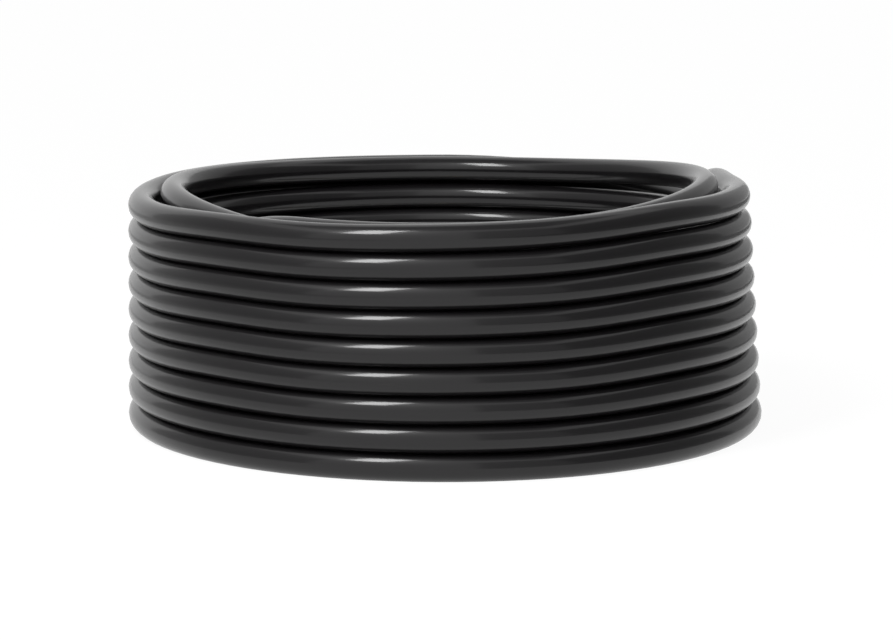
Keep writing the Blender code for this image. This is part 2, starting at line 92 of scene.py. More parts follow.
@dataclass(frozen=True)
class CoilSizes:
    """How the hose lies: lengths in metres, and bearings in degrees clockwise from the front."""

    base_radius: float = 0.2177
    top_radius: float = 0.2120
    lean: float = -0.0043
    outer_turns: int = 9
    outer_gap: float = 0.00147
    outer_gap_tilt: float = 0.00054
    outer_swell: float = 0.0020
    swell_turns: int = 3
    swell_sharpness: int = 6
    outer_step: Pair = (180, 255)
    sag: float = 0.0070
    sag_in: Pair = (108, 190)
    sag_out: Pair = (200, 315)
    layer_gap_top: float = 0.00465
    layer_gap_base: float = 0.00355
    inner_turns: int = 8
    inner_gap: float = 0.00057
    top_loop_gap: float = 0.0024
    saddle: float = 0.0092
    saddle_tilt: float = 0.0024
    saddle_front: float = 0.0032
    saddle_turns: int = 2
    inner_step: Pair = (-42, 85)
    crossing: Pair = (105, 185)
    inlet_out: Pair = (98, 135)
    inlet_drop: Pair = (110, 172)
    inlet_steepness: float = 0.57
    inlet_turn: Pair = (140, 172)
    inlet_line: float = 0.24405
    outlet_in: Pair = (-35, 24)
    outlet_tuck: float = 0.0036
    outlet_drop: Pair = (34, 170)
    outlet_turn: Pair = (135, 180)
    outlet_curl_radius: float = 0.110
    side_gap: float = 0.0034
    straight_end: float = 0.0360
    axis_y: float = -0.0166
    fitting_height: float = 0.01605


@dataclass(frozen=True)
class ThreadSizes:
    """The 3/4 in garden hose thread, 11.5 threads an inch, in metres."""

    pitch: float = 0.0254 / 11.5
    crest: float = 0.01325
    core: float = 0.01210
    bore: float = 0.01250
    root: float = 0.01365
    male_crest_half: float = 0.00012
    male_core_half: float = 0.00075
    female_tip_half: float = 0.00018
    female_root_half: float = 0.00082
    sunk: float = 0.00025
    steps: int = 72


@dataclass(frozen=True)
class FittingSizes:
    """The couplings' sizes in metres, lengths measured outward from the hose's end face."""

    neck: float = 0.00665
    stem_bore: float = 0.0045
    barb: float = 0.00632
    barb_depth: float = 0.0007
    barb_count: int = 3
    barb_pitch: float = 0.0080
    barb_land: float = 0.0020
    barb_crest: Pair = (0.0001, 0.0006)
    neck_step: float = 0.0003
    collar: Pair = (0.0018, 0.0036)
    flange: Pair = (0.0064, 0.0084)
    flange_radius: float = 0.0112
    sleeve_inside: float = 0.0092
    sleeve_outside: float = 0.0104
    sleeve_length: float = 0.0250
    sleeve_lip: Pair = (0.0003, 0.0015)
    crimp_count: int = 3
    crimp_pitch: float = 0.0070
    crimp_width: float = 0.0030
    crimp_slope: float = 0.0009
    crimp_depth: float = 0.0006
    shell: float = 0.01575
    nut: Pair = (0.0039, 0.0237)
    nut_shoulder: float = 0.0022
    nut_clearance: float = 0.0003
    bore_clearance: float = 0.0006
    thread_margin: float = 0.0010
    nut_grips: int = 12
    nut_grip_radius: float = 0.0021
    cap: Pair = (0.0039, 0.01953)
    cap_floor: float = 0.01713
    cap_edges: Pair = (0.0004, 0.0012)
    cap_grips: int = 20
    cap_grip_radius: float = 0.0011
    grip_depth: float = 0.0007
    grip_overrun: float = 0.001
    chamfer: float = 0.0006
    rounding: float = 0.00015
    grip_rounding: float = 0.0002
    washer_rounding: float = 0.0003
    nose_end: float = 0.01373
    male_start: float = 0.0046
    male_turns: float = 3.5
    disc_radius: float = 0.0122
    washer_hole: float = 0.0072
    inlet_washer: Pair = (0.0087, 0.0115)
    cap_washer: Pair = (0.01403, 0.01683)
    restrictor: Pair = (0.0118, 0.0132)
    restrictor_hole: float = 0.0012
    steps: int = 96


class Body(Enum):
    """The frame's bodies, which the pieces move with."""

    HOSE = "hose_assembly"
    NUT = "swivel_nut"
    CARRIER = "cap_carrier"
    CAP = "screw_cap"


# ---- The hose's route -----------------------------------------------------------------------------------
def smooth(value: float, start: float, end: float) -> float:
    """A share that rises from 0 to 1 with no kink at either end.

    Args:
        value: Where to read it.
        start: Where it leaves 0.
        end: Where it reaches 1.

    Returns:
        The share, from 0 to 1.
    """
    share = min(1.0, max(0.0, (value - start) / (end - start)))
    return share * share * (3 - 2 * share)


def arcs(value: float, start: float, end: float, steepness: float) -> float:
    """Goes from 0 to 1 along two round arcs that meet half way.

    Args:
        value: Where to look.
        start: Where it leaves 0.
        end: Where it reaches 1.
        steepness: The whole rise over the length that it takes.

    Returns:
        The share, from 0 to 1.
    """
    share = min(1.0, max(0.0, (value - start) / (end - start)))
    if share > 0.5:
        return 1 - arcs(start + end - value, start, end, steepness)
    radius = (1 + steepness**2) / (4 * steepness)
    return (radius - math.sqrt(radius**2 - share**2)) / steepness


def blend(first: float, second: float, share: float) -> float:
    """The value that lies a share of the way from the first to the second."""
    return first + (second - first) * share


@dataclass(frozen=True)
class Station:
    """Where a layer's hose lies at one bearing: radius and height of its middle, and the turn's lean."""

    radius: float
    height: float
    lean: float

    def towards(self, other: Station, share: float) -> Station:
        """Blends this station into another one.

        Args:
            other: The other station.
            share: The share of the way, from 0 to 1.

        Returns:
            The station between them.
        """
        return Station(
            blend(self.radius, other.radius, share),
            blend(self.height, other.height, share),
            blend(self.lean, other.lean, share),
        )


class CoilRoute:
    """The line along the hose's middle, from its tap end to its capped end."""

    def __init__(self, coil: CoilSizes, hose: HoseSizes) -> None:
        """Keeps the sizes that the route is worked out from.

        Args:
            coil: How the hose lies.
            hose: The hose's section.
        """
        self.coil = coil
        self.hose = hose

    def points(self) -> list[Vector]:
        """The route's points, close enough together for a smooth hose.

        Returns:
            The points from the tap end's face to the capped end's face.
        """
        coil = self.coil
        step = 360 / self.hose.rings_per_turn
        close = 360 / self.hose.end_rings_per_turn
        last = 360 * (coil.outer_turns + coil.inner_turns)
        inlet = self._run(self._inlet, coil.inlet_out[0] + close, coil.inlet_turn[1], close)
        turns = self._run(self._turn, -coil.inlet_out[0], last + coil.outlet_in[0], step)
        outlet = self._run(self._outlet, coil.outlet_in[0] + close, coil.outlet_turn[1], close)
        straight = Vector((coil.straight_end, 0, 0))
        runs = [straight * share for share in (1, 0.75, 0.5, 0.25)]
        ahead = [inlet[-1] - run for run in runs]
        behind = [outlet[-1] + run for run in reversed(runs)]
        return [*ahead, *reversed(inlet), *turns, *outlet, *behind]

    def _run(
        self, place: Callable[[float], Vector], start: float, end: float, step: float
    ) -> list[Vector]:
        """Follows the hose over evenly spaced bearings.

        Args:
            place: Gives the hose's middle at a bearing.
            start: The first bearing.
            end: The last one.
            step: About how far apart they are.

        Returns:
            The points.
        """
        count = max(1, round((end - start) / step))
        return [place(start + (end - start) * number / count) for number in range(count + 1)]

    def _place(self, bearing: float, radius: float, height: float, lean: float = 0.0) -> Vector:
        """Finds a point round the coil's axis.

        Args:
            bearing: Its bearing.
            radius: Its distance from the axis.
            height: Its height.
            lean: How far its turn is moved to the right.

        Returns:
            The point.
        """
        angle = math.radians(bearing)
        across = lean - radius * math.sin(angle)
        return Vector((across, self.coil.axis_y - radius * math.cos(angle), height))

    def _steps_taken(self, bearing: float, step: Pair) -> float:
        """How many turns a layer has stepped up or down at a running bearing."""
        turn = math.floor((bearing - step[0]) / 360)
        return turn + smooth(bearing - 360 * turn, *step)

    def _outer(self, bearing: float) -> Station:
        """Finds where the outer layer lies.

        Args:
            bearing: The running bearing, which counts on from turn to turn.

        Returns:
            The station there.
        """
        coil, angle = self.coil, math.radians(bearing)
        top = coil.outer_turns - 1
        above = min(top, max(0.0, top - self._steps_taken(bearing, coil.outer_step)))
        pitch = self.hose.diameter + coil.outer_gap - coil.outer_gap_tilt * math.sin(angle)
        height = self.hose.radius + above * pitch
        round_it = bearing % 360
        sagging = smooth(round_it, *coil.sag_in) * (1 - smooth(round_it, *coil.sag_out))
        height -= coil.sag * above / top * sagging
        if math.cos(angle) > 0:
            swell = coil.outer_swell * smooth(above, 0, coil.swell_turns)
            height += swell * math.sin(2 * angle) ** coil.swell_sharpness
        radius = blend(coil.base_radius, coil.top_radius, above / top)
        return Station(radius, height, coil.lean * above / top)

    def _inner(self, bearing: float) -> Station:
        """Finds where the inner layer lies.

        Args:
            bearing: The running bearing, which counts on from turn to turn.

        Returns:
            The station there.
        """
        coil, angle = self.coil, math.radians(bearing)
        top = coil.inner_turns
        above = min(top, max(0.0, self._steps_taken(bearing, coil.inner_step) - coil.outer_turns))
        height = self.hose.radius + above * (self.hose.diameter + coil.inner_gap)
        height += coil.top_loop_gap * smooth(above, top - 1, top)
        side = math.sin(angle)
        saddle = (coil.saddle * abs(side) - coil.saddle_tilt * side) * side**2
        saddle += coil.saddle_front * (1 + math.cos(angle)) / 2
        height += saddle * smooth(above, top - coil.saddle_turns, top)
        base = coil.base_radius - self.hose.diameter - coil.layer_gap_base
        rim = coil.top_radius - self.hose.diameter - coil.layer_gap_top
        return Station(blend(base, rim, above / top), height, coil.lean * above / top)

    def _turn(self, bearing: float) -> Vector:
        """Follows the hose down its outer layer and up its inner one.

        Args:
            bearing: The running bearing, from the tap end's way out.

        Returns:
            The hose's middle.
        """
        crossing = 360 * (self.coil.outer_turns - 1)
        share = smooth(bearing - crossing, *self.coil.crossing)
        spot = self._outer(bearing).towards(self._inner(bearing), share)
        return self._place(bearing, spot.radius, spot.height, spot.lean)

    def _inlet(self, bearing: float) -> Vector:
        """Follows the hose from the top turn, counter-clockwise, down to the tap end.

        Args:
            bearing: The bearing, counter-clockwise from the front.

        Returns:
            The hose's middle.
        """
        coil, spot = self.coil, self._outer(-bearing)
        away = coil.base_radius + self.hose.diameter + coil.side_gap
        radius = blend(spot.radius, away, smooth(bearing, *coil.inlet_out))
        if bearing > coil.inlet_turn[0]:
            line = -coil.inlet_line / math.cos(math.radians(bearing))
            radius = blend(radius, line, smooth(bearing, *coil.inlet_turn))
        drop = arcs(bearing, *coil.inlet_drop, coil.inlet_steepness)
        height = blend(spot.height, coil.fitting_height, drop)
        return self._place(-bearing, radius, height, spot.lean * (1 - drop))

    def _outlet(self, bearing: float) -> Vector:
        """Follows the hose from the top loop, clockwise, down to the capped end.

        Args:
            bearing: The bearing, clockwise from the front.

        Returns:
            The hose's middle.
        """
        coil = self.coil
        spot = self._inner(360 * (coil.outer_turns + coil.inner_turns) + min(bearing, 0))
        wide = coil.top_radius - 2 * self.hose.diameter - coil.layer_gap_top - coil.side_gap
        inward = smooth(bearing, *coil.outlet_in)
        radius = blend(spot.radius, wide, inward)
        drop = smooth(bearing, *coil.outlet_drop)
        height = blend(spot.height - coil.outlet_tuck * inward, coil.fitting_height, drop)
        lean = spot.lean * (1 - drop)
        turn = coil.outlet_turn[0]
        if bearing <= turn:
            return self._place(bearing, radius, height, lean)
        curl = self._place(turn, wide - coil.outlet_curl_radius, 0, lean)
        return curl + self._place(bearing, coil.outlet_curl_radius, height) - Vector((0, coil.axis_y, 0))


# ---- Shader graph ---------------------------------------------------------------------------------------
class Signal:
    """A node's output socket, on which Python arithmetic adds Math nodes."""

    def __init__(self, graph: ShaderGraph, socket: bpy.types.NodeSocket) -> None:
        """Wraps one socket.

        Args:
            graph: The graph that new nodes are added to.
            socket: The output socket.
        """
        self.graph = graph
        self.socket = socket

    def _math(self, operation: str, *values: Signal | float) -> Signal:
        """A Math node's result on some values."""
        return self.graph.node("ShaderNodeMath", {"operation": operation}, dict(enumerate(values)))

    def __add__(self, other: Signal | float) -> Signal:
        """The sum of two values."""
        return self._math("ADD", self, other)

    __radd__ = __add__

    def __sub__(self, other: Signal | float) -> Signal:
        """This value less another."""
        return self._math("SUBTRACT", self, other)

    def __rsub__(self, other: float) -> Signal:
        """A number less this value."""
        return self._math("SUBTRACT", other, self)

    def __mul__(self, other: Signal | float) -> Signal:
        """The product of two values."""
        return self._math("MULTIPLY", self, other)

    __rmul__ = __mul__

    def at_least(self, other: Signal | float) -> Signal:
        """The higher of this and another value."""
        return self._math("MAXIMUM", self, other)

    def between(self, low: float, high: float) -> Signal:
        """A mask that rises smoothly from 0 at low to 1 at high."""
        sockets = {"Value": self, "From Min": low, "From Max": high}
        return self.graph.node("ShaderNodeMapRange", {"interpolation_type": "SMOOTHSTEP"}, sockets)


class ShaderGraph:
    """A material's or a world's nodes."""

    def __init__(self, tree: bpy.types.NodeTree) -> None:
        """Empties a node tree to build in.

        Args:
            tree: The node tree.
        """
        self.tree = tree
        tree.nodes.clear()

    def node(
        self, kind: str, settings: dict | None = None, sockets: dict | None = None, out: int | str = 0
    ) -> Signal | None:
        """Adds a node.

        Args:
            kind: The node's type.
            settings: Its settings, such as a Math node's operation, which are made first.
            sockets: Values or signals for its inputs, by name or number.
            out: The output that is wanted.

        Returns:
            That output, or None for a node without outputs.
        """
        made = self.tree.nodes.new(kind)
        for name, value in (settings or {}).items():
            setattr(made, name, value)
        for name, value in (sockets or {}).items():
            if isinstance(value, Signal):
                self.tree.links.new(value.socket, made.inputs[name])
            elif isinstance(value, tuple) and len(value) == 3 and made.inputs[name].type == "RGBA":
                made.inputs[name].default_value = (*value, 1)
            else:
                made.inputs[name].default_value = value
        made.location = (len(self.tree.nodes) * 40, 0)
        return Signal(self, made.outputs[out]) if made.outputs else None

    def coordinates(self) -> Signal:
        """The object's own coordinates, in metres."""
        return self.node("ShaderNodeTexCoord", out="Object")

    def attribute(self, name: str) -> Signal:
        """A piece's own vector attribute."""
        return self.node("ShaderNodeAttribute", {"attribute_name": name}, out="Vector")

    def stretched(self, vector: Signal, scale: Triple) -> Signal:
        """Coordinates multiplied axis by axis."""
        return self.node("ShaderNodeVectorMath", {"operation": "MULTIPLY"}, {0: vector, 1: scale})

    def noise(self, vector: Signal, scale: float, detail: float = 2.0, roughness: float = 0.5) -> Signal:
        """Cloudy noise from 0 to 1."""
        sockets = {"Vector": vector, "Scale": scale, "Detail": detail, "Roughness": roughness}
        return self.node("ShaderNodeTexNoise", None, sockets)

    def mix(self, share: Signal, first: Triple, second: Triple) -> Signal:
        """A mix of two colours."""
        sockets = {"Factor": share, 6: first, 7: second}
        return self.node("ShaderNodeMix", {"data_type": "RGBA"}, sockets, out=2)

    def bump(self, height: Signal, distance: float, strength: float = 1.0) -> Signal:
        """A normal that follows a height, whose full range is a distance in metres."""
        sockets = {"Strength": strength, "Distance": distance, "Height": height}
        return self.node("ShaderNodeBump", None, sockets)

    def surface(self, sockets: dict) -> None:
        """Ends the graph in a Principled surface with these inputs."""
        shader = self.node("ShaderNodeBsdfPrincipled", None, sockets)
        self.node("ShaderNodeOutputMaterial", None, {"Surface": shader})


# ---- Finishes -------------------------------------------------------------------------------------------
@dataclass(frozen=True)
class Finish:
    """A surface's name, record slot and plain values, from which a subclass builds its nodes."""

    name: str
    slot: str
    colour: Triple
    roughness: float

    def material(self) -> bpy.types.Material:
        """Makes the finish's material.

        Returns:
            The new material.
        """
        made = bpy.data.materials.new(self.name)
        made.use_nodes = True
        made.diffuse_color = (*self.colour, 1)
        self.build(ShaderGraph(made.node_tree))
        return made

    def build(self, graph: ShaderGraph) -> None:
        """Adds the nodes.

        Args:
            graph: The empty graph.
        """
        raise NotImplementedError


@dataclass(frozen=True)
class ExtrudedGloss(Finish):
    """Glossy extruded polyethylene: drawn lines along the hose, faint waviness and handling scuffs."""

    scuffed: Triple = (0.016, 0.0155, 0.0155)
    index: float = 1.52
    coat: float = 0.62
    under_shine: float = 0.155
    under_roughness: float = 0.45
    line_stretch: Triple = (2.0, 900.0, 900.0)
    wave_stretch: Triple = (9.0, 40.0, 40.0)
    patch_stretch: Triple = (14.0, 60.0, 60.0)
    scratch_stretch: Triple = (60.0, 1400.0, 1400.0)
    line_depth: float = 0.000004
    wave_depth: float = 0.00003

    def build(self, graph: ShaderGraph) -> None:
        """Adds the nodes, which read the hose's lay: metres along it, then the place on its section.

        Args:
            graph: The empty graph.
        """
        lay = graph.attribute("lay")
        lines = graph.noise(graph.stretched(lay, self.line_stretch), 1.0, 3.0)
        waves = graph.noise(graph.stretched(lay, self.wave_stretch), 1.0, 1.0)
        patches = graph.noise(graph.stretched(lay, self.patch_stretch), 1.0, 4.0, 0.6)
        scratches = graph.noise(graph.stretched(lay, self.scratch_stretch), 1.0, 2.0)
        scuffs = patches.between(0.56, 0.74) * scratches.between(0.50, 0.68)
        fine = graph.bump(lines, self.line_depth)
        sockets = {"Distance": self.wave_depth, "Height": waves, "Normal": fine}
        normal = graph.node("ShaderNodeBump", None, sockets)
        graph.surface(
            {
                "Base Color": graph.mix(scuffs * 0.5 + patches * 0.2, self.colour, self.scuffed),
                "Roughness": patches * 0.08 + scuffs * 0.12 + (self.under_roughness - 0.04),
                "IOR": self.index,
                "Specular IOR Level": self.under_shine,
                "Coat Weight": self.coat,
                "Coat Roughness": self.roughness,
                "Coat IOR": self.index,
                "Normal": normal,
            }
        )


@dataclass(frozen=True)
class TurnedMetal(Finish):
    """Turned or drawn metal: tool rings round its axis, a little tarnish, and duller worn patches and
    specks.
    """

    tarnish: Triple = (0.30, 0.19, 0.08)
    ring_stretch: Triple = (9000.0, 40.0, 40.0)
    ring_depth: float = 0.00001
    cloud_scale: float = 160.0
    speck_scale: float = 1800.0

    def build(self, graph: ShaderGraph) -> None:
        """Adds the nodes, with the rings round the X direction, which both couplings lie along.

        Args:
            graph: The empty graph.
        """
        spot = graph.coordinates()
        rings = graph.noise(graph.stretched(spot, self.ring_stretch), 1.0, 2.0)
        clouds = graph.noise(spot, self.cloud_scale, 4.0, 0.6)
        specks = graph.noise(spot, self.speck_scale, 2.0).between(0.62, 0.75)
        worn = clouds.between(0.45, 0.75)
        graph.surface(
            {
                "Base Color": graph.mix(worn * 0.45 + specks * 0.25, self.colour, self.tarnish),
                "Metallic": 1.0,
                "Roughness": rings * 0.10 + worn * 0.14 + specks * 0.10 + (self.roughness - 0.06),
                "Normal": graph.bump(rings, self.ring_depth),
            }
        )


@dataclass(frozen=True)
class MouldedPlastic(Finish):
    """Moulded plastic or rubber: a fine grain, slight shade changes and rubbed spots."""

    rubbed: Triple = (0.05, 0.05, 0.05)
    grain_scale: float = 2600.0
    grain_depth: float = 0.00003
    cloud_scale: float = 120.0

    def build(self, graph: ShaderGraph) -> None:
        """Adds the nodes, with the grain in the piece's own coordinates.

        Args:
            graph: The empty graph.
        """
        spot = graph.coordinates()
        grain = graph.noise(spot, self.grain_scale, 3.0, 0.6)
        clouds = graph.noise(spot, self.cloud_scale, 3.0)
        wear = clouds.between(0.4, 0.8) * 0.4 + grain * 0.15
        graph.surface(
            {
                "Base Color": graph.mix(wear, self.colour, self.rubbed),
                "Roughness": grain * 0.16 + clouds * 0.10 + (self.roughness - 0.12),
                "Normal": graph.bump(grain, self.grain_depth, 0.6),
            }
        )


HOSE_FINISH = ExtrudedGloss("hose_polyethylene", "hose", (0.0052, 0.0044, 0.0053), 0.14)
BRASS = TurnedMetal("turned_brass", "brass", (0.80, 0.58, 0.27), 0.26)
ALUMINIUM = TurnedMetal(
    "crimped_aluminium",
    "ferrule",
    (0.72, 0.72, 0.74),
    0.32,
    tarnish=(0.42, 0.42, 0.43),
    ring_depth=0.000006,
)
CAP_PLASTIC = MouldedPlastic("cap_plastic", "cap", (0.018, 0.018, 0.020), 0.42)
RUBBER = MouldedPlastic(
    "washer_rubber", "washer", (0.016, 0.016, 0.016), 0.78, rubbed=(0.04, 0.04, 0.038), grain_scale=4200.0
)
PALE_PLASTIC = MouldedPlastic(
    "restrictor_plastic", "restrictor", (0.75, 0.75, 0.71), 0.42, rubbed=(0.62, 0.62, 0.58)
)


# ---- Modelling ------------------------------------------------------------------------------------------
class Workbench:
    """Modelling steps that the pieces share, each of which selects what it works on."""

    sharp_edge = math.radians(25)
    smooth_edge = math.radians(30)
    merge_distance = 1e-6
    circle_radius = 0.01
    groove_sides = 24

    @staticmethod
    def clear_selection() -> None:
        """Leaves object mode with nothing selected."""
        if bpy.context.object and bpy.context.object.mode != "OBJECT":
            bpy.ops.object.mode_set(mode="OBJECT")
        bpy.ops.object.select_all(action="DESELECT")

    @classmethod
    def pick(cls, obj: bpy.types.Object) -> None:
        """Selects one object and makes it active.

        Args:
            obj: The object.
        """
        cls.clear_selection()
        obj.hide_set(False)
        obj.select_set(True)
        bpy.context.view_layer.objects.active = obj

    @classmethod
    def apply(cls, obj: bpy.types.Object, kind: str, **settings: object) -> None:
        """Adds a modifier and applies it.

        Args:
            obj: The object.
            kind: The modifier's type.
            **settings: Its settings.
        """
        cls.pick(obj)
        modifier = obj.modifiers.new(kind.title(), kind)
        for name, value in settings.items():
            setattr(modifier, name, value)
        bpy.ops.object.modifier_apply(modifier=modifier.name)

    @classmethod
    def edit(cls, obj: bpy.types.Object) -> None:
        """Opens an object in edit mode with everything selected.

        Args:
            obj: The object.
        """
        cls.pick(obj)
        bpy.ops.object.mode_set(mode="EDIT")
        bpy.ops.mesh.select_all(action="SELECT")

    @classmethod
    def outline(cls, name: str, corners: Outline, way: int) -> bpy.types.Object:
        """A closed outline beside the X axis, from a circle whose corners are moved to their places.

        Args:
            name: The object's name.
            corners: Its corners as (radius, distance along).
            way: 1 where the distance runs along +X, and -1 along -X.

        Returns:
            The new object.
        """
        cls.clear_selection()
        bpy.ops.mesh.primitive_circle_add(vertices=len(corners), radius=cls.circle_radius)
        obj = bpy.context.object
        obj.name = name
        for vertex, (radius, along) in zip(obj.data.vertices, corners):
            vertex.co = (way * along, 0, radius)
        return obj

    @classmethod
    def turned(
        cls, name: str, corners: Outline, way: int, steps: int, round_edge: float
    ) -> bpy.types.Object:
        """A piece turned round the X axis, with its edges rounded.

        Args:
            name: The object's name.
            corners: Its outline's corners as (radius, distance along).
            way: 1 where the distance runs along +X, and -1 along -X.
            steps: Facets all round.
            round_edge: The rounding's width in metres, or 0 for sharp edges.

        Returns:
            The new object.
        """
        obj = cls.outline(name, corners, way)
        cls.edit(obj)
        bpy.ops.mesh.spin(steps=steps, angle=math.tau, center=(0, 0, 0), axis=(1, 0, 0))
        bpy.ops.mesh.select_all(action="SELECT")
        bpy.ops.mesh.remove_doubles(threshold=cls.merge_distance)
        bpy.ops.mesh.normals_make_consistent(inside=False)
        bpy.ops.object.mode_set(mode="OBJECT")
        if round_edge:
            cls.round_edges(obj, round_edge)
        return obj

    @classmethod
    def round_edges(cls, obj: bpy.types.Object, width: float) -> None:
        """Rounds every sharp edge.

        Args:
            obj: The object.
            width: The rounding's width in metres.
        """
        cls.apply(obj, "BEVEL", width=width, segments=2, limit_method="ANGLE", angle_limit=cls.sharp_edge)

    @classmethod
    def helix(
        cls, name: str, corners: Outline, way: int, turns: float, thread: ThreadSizes
    ) -> bpy.types.Object:
        """A thread's ridge, closed at both ends.

        Args:
            name: The object's name.
            corners: The ridge's section at its end nearest -X, as (radius, distance along).
            way: 1 where the distance runs along +X, and -1 along -X.
            turns: Its length in turns.
            thread: The thread's sizes.

        Returns:
            The new object.
        """
        obj = cls.outline(name, corners, way)
        angle, climb, steps = math.tau * turns, thread.pitch * turns, round(thread.steps * turns)
        cls.apply(obj, "SCREW", axis="X", angle=angle, screw_offset=climb, steps=steps, render_steps=steps)
        cls.edit(obj)
        bpy.ops.mesh.fill_holes(sides=len(corners))
        bpy.ops.mesh.select_all(action="SELECT")
        bpy.ops.mesh.normals_make_consistent(inside=False)
        bpy.ops.object.mode_set(mode="OBJECT")
        return obj

    @classmethod
    def join(cls, obj: bpy.types.Object, other: bpy.types.Object) -> bpy.types.Object:
        """Joins another object's mesh to an object.

        Args:
            obj: The object that stays.
            other: The one that goes.

        Returns:
            The object that stays.
        """
        cls.pick(obj)
        other.select_set(True)
        bpy.ops.object.join()
        return obj

    @classmethod
    def fluted(
        cls, obj: bpy.types.Object, count: int, radius: float, rim: float, depth: float, span: Pair
    ) -> None:
        """Cuts round grip grooves along a nut or a cap.

        Args:
            obj: The piece, round the X axis.
            count: How many grooves.
            radius: A groove's radius in metres.
            rim: The piece's radius.
            depth: A groove's depth.
            span: Where the grooves start and end along X.
        """
        cutter = None
        away = rim + radius - depth
        for number in range(count):
            angle = math.tau * (number + 0.5) / count
            cls.clear_selection()
            bpy.ops.mesh.primitive_cylinder_add(
                vertices=cls.groove_sides,
                radius=radius,
                depth=abs(span[1] - span[0]),
                location=((span[0] + span[1]) / 2, away * math.cos(angle), away * math.sin(angle)),
                rotation=(0, math.pi / 2, 0),
            )
            made = bpy.context.object
            bpy.ops.object.transform_apply(location=True, rotation=True, scale=True)
            cutter = cls.join(cutter, made) if cutter else made
        cls.apply(obj, "BOOLEAN", operation="DIFFERENCE", object=cutter, solver="EXACT")
        bpy.data.objects.remove(cutter)

    @classmethod
    def finish(
        cls, obj: bpy.types.Object, finish: Finish, body: Body, nodes: Sequence[str]
    ) -> bpy.types.Object:
        """Shades a piece, gives it its finish, and ties it to its body and to the nodes it stands for.

        Args:
            obj: The piece.
            finish: Its finish.
            body: The body it moves with.
            nodes: The frame's nodes that it stands for.

        Returns:
            The piece.
        """
        cls.pick(obj)
        bpy.ops.object.shade_smooth_by_angle(angle=cls.smooth_edge)
        obj.data.materials.clear()
        obj.data.materials.append(finish.material())
        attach(obj, body.value)
        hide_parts(*nodes)
        return obj


class HoseTube:
    """The hose itself: a tube of even wall, wound along its route."""

    ring_tolerance = 1e-4

    def __init__(self, hose: HoseSizes, route: Sequence[Vector]) -> None:
        """Keeps what the tube is made from.

        Args:
            hose: The hose's section.
            route: The points along its middle.
        """
        self.hose = hose
        self.route = route

    def build(self) -> bpy.types.Object:
        """Models the tube.

        Returns:
            The finished piece.
        """
        obj = self._skin()
        self._write_lay(obj)
        Workbench.apply(obj, "SOLIDIFY", thickness=self.hose.wall, offset=-1.0, use_even_offset=True)
        return Workbench.finish(obj, HOSE_FINISH, Body.HOSE, ["hose"])

    def _skin(self) -> bpy.types.Object:
        """Sweeps the tube's outer surface along the route.

        Returns:
            The surface, open at both ends.
        """
        Workbench.clear_selection()
        bpy.ops.curve.primitive_nurbs_path_add()
        guide = bpy.context.object
        guide.name = "hose_tube"
        curve = guide.data
        curve.splines.clear()
        spline = curve.splines.new("POLY")
        spline.points.add(len(self.route) - 1)
        spline.points.foreach_set("co", [c for point in self.route for c in (*point, 1)])
        spline.points.foreach_set("radius", self._fullness())
        curve.dimensions = "3D"
        curve.twist_mode = "Z_UP"
        curve.bevel_depth = self.hose.radius
        curve.bevel_resolution = self.hose.sides // 2 - 2
        curve.use_fill_caps = False
        Workbench.pick(guide)
        bpy.ops.object.convert(target="MESH")
        return bpy.context.object

    def _along(self) -> np.ndarray:
        """Each route point's metres along the hose."""
        steps = [(second - first).length for first, second in zip(self.route, self.route[1:])]
        return np.concatenate([[0.0], np.cumsum(steps)])

    def _fullness(self) -> list[float]:
        """Works out how much fuller than its real size the hose is drawn at each point of its route.

        Returns:
            Each point's drawn radius over the hose's real one.
        """
        hose, along, shares = self.hose, self._along(), []
        for here in along:
            fuller = blend(hose.outer_fullness, hose.inner_fullness, smooth(here, *hose.layers_meet))
            shares.append(1 + fuller / hose.radius * smooth(min(here, along[-1] - here), *hose.full_from))
        return shares

    def _write_lay(self, obj: bpy.types.Object) -> None:
        """Writes the lay that the finish reads: metres along the hose, then the place on its section.

        Args:
            obj: The tube's surface, ring after ring of vertices along the route.
        """
        places = np.empty(len(obj.data.vertices) * 3)
        obj.data.vertices.foreach_get("co", places)
        rings = places.reshape(len(self.route), -1, 3)
        middles = np.array([tuple(point) for point in self.route])
        astray = np.abs(rings.mean(1) - middles).max()
        assert astray < self.ring_tolerance, "the rings don't follow the route"
        along = self._along()
        angles = np.arange(rings.shape[1]) * math.tau / rings.shape[1]
        lay = np.empty(rings.shape)
        lay[:, :, 0] = along[:, None]
        lay[:, :, 1] = self.hose.radius * np.cos(angles)[None, :]
        lay[:, :, 2] = self.hose.radius * np.sin(angles)[None, :]
        layer = obj.data.attributes.new("lay", "FLOAT_VECTOR", "POINT")
        layer.data.foreach_set("vector", lay.ravel())


